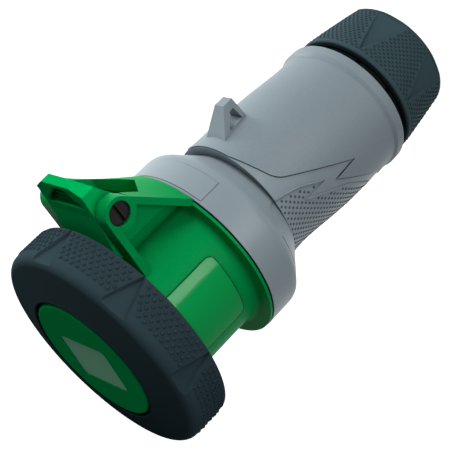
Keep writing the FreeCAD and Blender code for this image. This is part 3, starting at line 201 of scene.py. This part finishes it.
# The grip's studs are real domes; their colour, much darker than the shell's, is painted shade standing in for
# their shadows.
grip_stud_painted_shade = finish("grip_stud_painted_shade", (0.085, 0.105, 0.12), 0.5, 0.0005, 0.000006, shine=0.1)
green_barrel = finish("green_barrel", (0.0, 0.33, 0.08), 0.42, 0.0006, 0.00008, speckle=0.12, shine=0.015)
green_lid = finish("green_lid", (0.0, 0.49, 0.116), 0.42, 0.0006, 0.00004, speckle=0.08, shine=0.0)
green_film = finish("green_film", (0.0, 0.38, 0.083), 0.12, 0.0008, 0.000002, edge=0.0001, shine=0.035)
pale_field = finish("pale_field", (0.35, 0.86, 0.54), 0.4, 0.0005, 0.00001, edge=0.0001, shine=0.0)
ring_skin = finish("ring_skin", (0.034, 0.06, 0.071), 0.6, 0.0003, 0.00001, edge=0.0008, shine=0.0)
nut_skin = finish("nut_skin", (0.046, 0.082, 0.094), 0.6, 0.0003, 0.00001, edge=0.0008, shine=0.03)
# Very dark green for the line round the rating label: painted shadow of its edge.
label_shadow_green = finish("label_shadow_green", (0.0, 0.05, 0.012), 0.4, 0.0005, 0.000004, shine=0.1)
black_moulding = finish("black_moulding", (0.0055, 0.0095, 0.011), 0.45, 0.0005, 0.000006, shine=0.01)
seal_rubber = finish("seal_rubber", (0.007, 0.007, 0.009), 0.6, 0.0004, 0.00001, shine=0.01)
pin_steel = finish("pin_steel", (0.015, 0.0142, 0.0142), 0.4, 0.0003, 0.000006, shine=0.08)
screw_steel = finish("screw_steel", (0.6, 0.6, 0.62), 0.3, 0.0003, 0.000004, metal=1.0)
contact_brass = finish("contact_brass", (0.72, 0.53, 0.25), 0.26, 0.0004, 0.000003, metal=1.0)
insulator = finish("insulator", (0.03, 0.033, 0.036), 0.5, 0.0005, 0.00001)

dress(grey_gloss, "front_shell", "release_panel")
dress(grey_matte, "handle_shell")
dress(green_barrel, "socket_collar", "collar_spigot")
dress(green_film, "rating_label")
dress(green_lid, "lid")
dress(pale_field, "lid_window")
dress(ring_skin, "ring_grip")
dress(nut_skin, "gland_nut")
dress(black_moulding, "ring_core", "ring_face", "ring_clip", "gland_sleeve", "thrust_ring")
dress(seal_rubber, "shell_seal", "lid_gasket", "gland_seal")
dress(pin_steel, "hinge_pin")
dress(screw_steel, "terminal_screws")
dress(insulator, "contact_carrier", "carrier_ring", "clamp_plate")
dress(contact_brass, "contact_earth", "contact_l1", "contact_l2", "contact_l3", "contact_neutral", "contact_pilot")

# Curved faces are smooth and real edges stay sharp.
SHARP = math.radians(28)
for node in nodes.values():
    node.data.set_sharp_from_angle(angle=SHARP)


# Meshes laid on the CAD skins.
def skin_of(name):
    """A tree of a CAD node's faces, to find where a line meets them."""
    mesh = nodes[name].data
    return BVHTree.FromPolygons([v.co for v in mesh.vertices], [f.vertices for f in mesh.polygons])


def piece(name, body, mat, points, faces):
    """A smooth mesh that rides on a body and takes the finish it is given."""
    mesh = bpy.data.meshes.new(name)
    mesh.from_pydata(points, [], faces)
    mesh.update()
    for face in mesh.polygons:
        face.use_smooth = True
    mesh.materials.append(mat)
    made = bpy.data.objects.new(name, mesh)
    scene.collection.objects.link(made)
    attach(made, body)
    return made


def oval(centre, wide, high, sides):
    """Points round a centre, from the two half axes of their oval."""
    turns = [math.tau * step / sides for step in range(sides)]
    return [centre + wide * math.cos(turn) + high * math.sin(turn) for turn in turns]


def band(low, sides):
    """The faces between a ring of points and the next ring."""
    return [(low + step, low + after, low + sides + after, low + sides + step)
            for step, after in pairs_round(sides)]


def pairs_round(sides):
    """The number of each point of a ring and of the point after it."""
    return [(step, (step + 1) % sides) for step in range(sides)]


# The studs of the ring, the nut and the grip.
def met_inwards(skin, angle, height):
    """Where a level line towards the axis meets the skin, and the way it faces."""
    out = Vector((math.cos(angle), math.sin(angle), 0.0))
    place, facing, _, _ = skin.ray_cast(out * OUTSIDE + Vector((0.0, 0.0, height)), -out)
    return place, facing


def on_full_skin(skin, angle, height, skin_rad, clear):
    """Whether the skin has its full radius at a place and a little way round it."""
    for turned, raised in ((0, 0), (1, 0), (-1, 0), (0, 1), (0, -1)):
        there = height + raised * clear
        place, _ = met_inwards(skin, angle + turned * clear / skin_rad(there), there)
        if place is None or abs(math.hypot(place.x, place.y) - skin_rad(there)) > OUT_OF_ROUND:
            return False
    return True


def staggered(low, high, pitch, columns):
    """The angle and height of each place of a staggered pattern round the axis."""
    rows = int((high - low) / pitch + 0.001) + 1
    for row in range(rows):
        for column in range(columns):
            yield math.tau * (column + 0.5 * (row % 2)) / columns, low + row * pitch


def studs(name, body, mat, spots, size):
    """One mesh of low domes of a half width, half length and height."""
    width, length, height = size
    points = []
    faces = []
    for place, facing in spots:
        across = Vector((0.0, 0.0, 1.0)).cross(facing).normalized()
        lengthways = facing.cross(across)
        base = len(points)
        for share, rise in STUD_STEPS:
            points += oval(place + facing * (height * rise), across * (width * share),
                           lengthways * (length * share), STUD_SIDES)
        points.append(place + facing * height)
        faces += band(base, STUD_SIDES)
        faces += [(base + STUD_SIDES + step, base + STUD_SIDES + after, base + 2 * STUD_SIDES)
                  for step, after in pairs_round(STUD_SIDES)]
    return piece(name, body, mat, points, faces)


def ring_rad(height):
    """The radius of the ring's skin, the same at every height."""
    return RING_RAD


def nut_rad(height):
    """The radius of the nut's tapered skin."""
    return NUT_REAR_RAD + (NUT_FRONT_RAD - NUT_REAR_RAD) * height / NUT_LENGTH


def between_marks(name, rows, skin_rad, clear):
    """Places of a pattern that lie between the triangular marks of a node."""
    skin = skin_of(name)
    for angle, height in staggered(*rows):
        if on_full_skin(skin, angle, height, skin_rad, clear):
            yield met_inwards(skin, angle, height)


def edge_gap(point, start, end):
    """How far a point of the side view lies from a line between two others."""
    way = end - start
    share = max(0.0, min(1.0, (point - start).dot(way) / way.length_squared))
    return (point - start - way * share).length


def in_grip(x, back, corners):
    """Whether a point of the side view lies well within the grip's outline."""
    point = Vector((x, back))
    inside = False
    for start, end in zip(corners, corners[1:] + corners[:1]):
        if edge_gap(point, start, end) < GRIP_MARGIN:
            return False
        if (start.y > back) != (end.y > back):
            inside ^= x < start.x + (back - start.y) / (end.y - start.y) * (end.x - start.x)
    return inside


def grip_spots():
    """Places of the grip on both flanks and below."""
    skin = skin_of("front_shell")
    rear = (GRIP_UNDER, GRIP_TAIL[-1][1])
    front = (GRIP_UNDER, GRIP_FRONT)
    corners = [Vector(each) for each in [*GRIP_BROW, GRIP_NOTCH, *GRIP_TAIL, rear, front]]
    for angle, height in staggered(*GRIP_ROWS):
        place, facing = met_inwards(skin, angle, height)
        if place is not None and in_grip(place.x, FLANGE - height, corners):
            yield place, facing


# The thin lines along the grip, and the dark lines of painted shade along the seam and round the label.
def thin_line(name, mat, spots, girth):
    """A thin cord that lies on the housing along a row of places, tapered at both ends."""
    points = []
    faces = []
    last = len(spots) - 1
    for index, (place, facing) in enumerate(spots):
        ahead = spots[min(last, index + 1)][0] - spots[max(0, index - 1)][0]
        across = facing.cross(ahead).normalized()
        rad = girth * min(1.0, LINE_TIP + LINE_GROWTH * min(index, last - index))
        points += oval(place, across * rad, facing * (rad * LINE_FLATNESS), LINE_SIDES)
    for low in range(0, last * LINE_SIDES, LINE_SIDES):
        faces += band(low, LINE_SIDES)
    faces.append(tuple(range(LINE_SIDES)))
    faces.append(tuple(range(last * LINE_SIDES, len(points))))
    return piece(name, "housing", mat, points, faces)


def along(route, pitch):
    """Evenly spaced points of a line through corners."""
    stops = []
    for start, end in zip(route, route[1:]):
        first = Vector(start)
        way = Vector(end) - first
        count = max(1, round(way.length / pitch))
        stops += [first + way * (step / count) for step in range(count)]
    return stops + [Vector(route[-1])]


def flank_spots(route, side, shift):
    """Places on a flank of the front shell: met beside a line of the side view, then moved part of the way back."""
    skin = skin_of("front_shell")
    spots = []
    for stop in along(route, FLANK_PITCH):
        start = Vector((stop.x + shift, side * OUTSIDE, FLANGE - stop.y))
        place, facing, _, _ = skin.ray_cast(start, Vector((0.0, -side, 0.0)))
        if place is not None:
            spots.append((place - Vector((shift * SETTLING, 0.0, 0.0)), facing))
    return spots


def rounded_outline(low, high, corner):
    """A rectangle with round corners, from its lowest and highest point."""
    left, right = low.x + corner, high.x - corner
    rear, front = low.y + corner, high.y - corner
    route = []
    for quarter, centre in enumerate(((right, front), (left, front), (left, rear), (right, rear))):
        for share in (0.0, 0.25, 0.5, 0.75, 1.0):
            turn = math.radians(90 * (quarter + share))
            route.append(Vector(centre) + Vector((math.cos(turn), math.sin(turn))) * corner)
    return [*route, route[0]]


def label_spots():
    """Places round the rating label, a sheet bent round the barrel."""
    corners = [v.co for v in nodes["rating_label"].data.vertices]
    rad = max(math.hypot(each.x, each.y) for each in corners)
    turns = [math.atan2(each.y, each.x) * rad for each in corners]
    heights = [each.z for each in corners]
    low = Vector((min(turns), min(heights)))
    high = Vector((max(turns), max(heights)))
    spots = []
    for stop in along(rounded_outline(low, high, LABEL_CORNER), LABEL_PITCH):
        out = Vector((math.cos(stop.x / rad), math.sin(stop.x / rad), 0.0))
        spots.append((out * rad + Vector((0.0, 0.0, stop.y)), out))
    return spots


ring_spots = between_marks("ring_grip", RING_ROWS, ring_rad, RING_CLEAR)
nut_spots = between_marks("gland_nut", NUT_ROWS, nut_rad, NUT_CLEAR)
studs("ring_studs", "bayonet_ring", ring_skin, ring_spots, RING_STUD)
studs("nut_studs", "gland_nut", nut_stud_painted_shade, nut_spots, NUT_STUD)
studs("grip_studs", "housing", grip_stud_painted_shade, grip_spots(), GRIP_STUD)

BEADS = {"grip_brow": GRIP_BROW, "grip_tail": [GRIP_NOTCH, *GRIP_TAIL]}
SEAM_SHADOW_LINES = {"seam_shadow_cord": (SEAM, -SEAM_SHADOW_SHIFT),
              "seam_notch": ([SEAM[-1], SEAM_NOTCH], SEAM_SHADOW_SHIFT),
              "seam_tail": ([SEAM_NOTCH, SEAM_TAIL], -SEAM_SHADOW_SHIFT)}
for flank, side in (("near", -1), ("far", 1)):
    for name, route in BEADS.items():
        thin_line(f"{name}_{flank}", grey_gloss, flank_spots(route, side, BEAD_SHIFT), BEAD_RAD)
    # Dark rubber cords along the seam between the shells: painted shade of the gap.
    for name, (route, shift) in SEAM_SHADOW_LINES.items():
        thin_line(f"{name}_{flank}", seal_rubber, flank_spots(route, side, shift), SEAM_SHADOW_RAD)
# A dark line round the rating label: painted shadow of its edge.
thin_line("label_shadow_line", label_shadow_green, label_spots(), LABEL_SHADOW_RAD)


# Studio.
WHITE = (1.0, 1.0, 1.0, 1.0)
SHEET = (0.9, 0.9, 0.9, 1.0)
SHEET_WIDTH = 8
SHEET_DROP = 0.0004
SENSOR = 36
LENS = 105.28
LENS_SHIFT = (0.0021, -0.0020)
CAMERA_PLACE = (0.377829, -0.518355, 0.432962)
CAMERA_TURN = (-58.1452, 40.0232, -122.2189)


def seen_directly(tree):
    """1 where a surface is seen by the camera, in gloss or through glass."""
    path = wire(tree, "ShaderNodeLightPath").outputs
    near = maths(tree, "MAXIMUM", path["Is Camera Ray"], path["Is Glossy Ray"])
    return maths(tree, "MAXIMUM", near, path["Is Transmission Ray"])


def pale_floor(lift):
    """A large matt sheet under the gland nut."""
    mat = bpy.data.materials.new("pale_floor")
    tree = blank_tree(mat)
    sheet = wire(tree, "ShaderNodeBsdfDiffuse", Color=SHEET).outputs[0]
    level = maths(tree, "MULTIPLY", seen_directly(tree), lift)
    glow = wire(tree, "ShaderNodeEmission", Color=WHITE, Strength=level).outputs[0]
    both = wire(tree, "ShaderNodeAddShader", i0=sheet, i1=glow).outputs[0]
    wire(tree, "ShaderNodeOutputMaterial", Surface=both)
    bpy.ops.mesh.primitive_plane_add(size=SHEET_WIDTH, location=(0, 0, -SHEET_DROP))
    plane = bpy.context.object
    plane.name = "studio_floor"
    plane.data.materials.append(mat)


def surroundings(ambient):
    """An even pale surround that lights softly and looks white."""
    world = bpy.data.worlds.new("surroundings")
    scene.world = world
    tree = blank_tree(world)
    level = wire(tree, "ShaderNodeMapRange", Value=seen_directly(tree), To_Min=ambient, To_Max=1.0).outputs[0]
    sky = wire(tree, "ShaderNodeBackground", Color=WHITE, Strength=level).outputs[0]
    wire(tree, "ShaderNodeOutputWorld", Surface=sky)


def softbox(name, place, aim, size, power):
    """A soft lamp of a width and height that faces a point of the connector."""
    lamp = bpy.data.lights.new(name, "AREA")
    lamp.shape = "RECTANGLE"
    lamp.size, lamp.size_y = size
    lamp.energy = power
    made = bpy.data.objects.new(name, lamp)
    scene.collection.objects.link(made)
    made.location = place
    made.rotation_euler = (Vector(aim) - Vector(place)).to_track_quat("-Z", "Y").to_euler()
    return made


def gleam(name, place, aim, size, power):
    """A small soft lamp that only shows in glossy skins."""
    made = softbox(name, place, aim, size, power)
    made.visible_camera = False
    made.visible_diffuse = False


def photo_camera():
    """The photograph's point of view: from the side of the hinge, rolled."""
    lens = bpy.data.cameras.new("photo_camera")
    lens.sensor_width = SENSOR
    lens.lens = LENS
    lens.shift_x, lens.shift_y = LENS_SHIFT
    made = bpy.data.objects.new("photo_camera", lens)
    scene.collection.objects.link(made)
    made.location = CAMERA_PLACE
    made.rotation_euler = Euler([math.radians(each) for each in CAMERA_TURN])
    scene.camera = made


pale_floor(lift=1.0)
surroundings(ambient=0.1)
softbox("key", place=(1.2, -0.15, 0.19), aim=(0, 0, 0.14), size=(0.7, 0.36), power=6.6)
softbox("fill", place=(0.3, -1.2, 0.2), aim=(0, 0, 0.14), size=(0.8, 0.38), power=4.2)
softbox("rear_light", place=(0.6, 0.9, 0.19), aim=(0, 0, 0.12), size=(0.7, 0.36), power=9.2)
gleam("label_gleam", place=(0.132, -0.445, 0.043), aim=(0.0185, -0.0390, 0.202), size=(0.13, 0.065), power=1.1)
gleam("neck_gleam", place=(0.134, -0.188, 0.02), aim=(0.027, -0.031, 0.135), size=(0.02, 0.03), power=0.09)
photo_camera()
scene.view_settings.view_transform = "Standard"

bpy.context.view_layer.update()
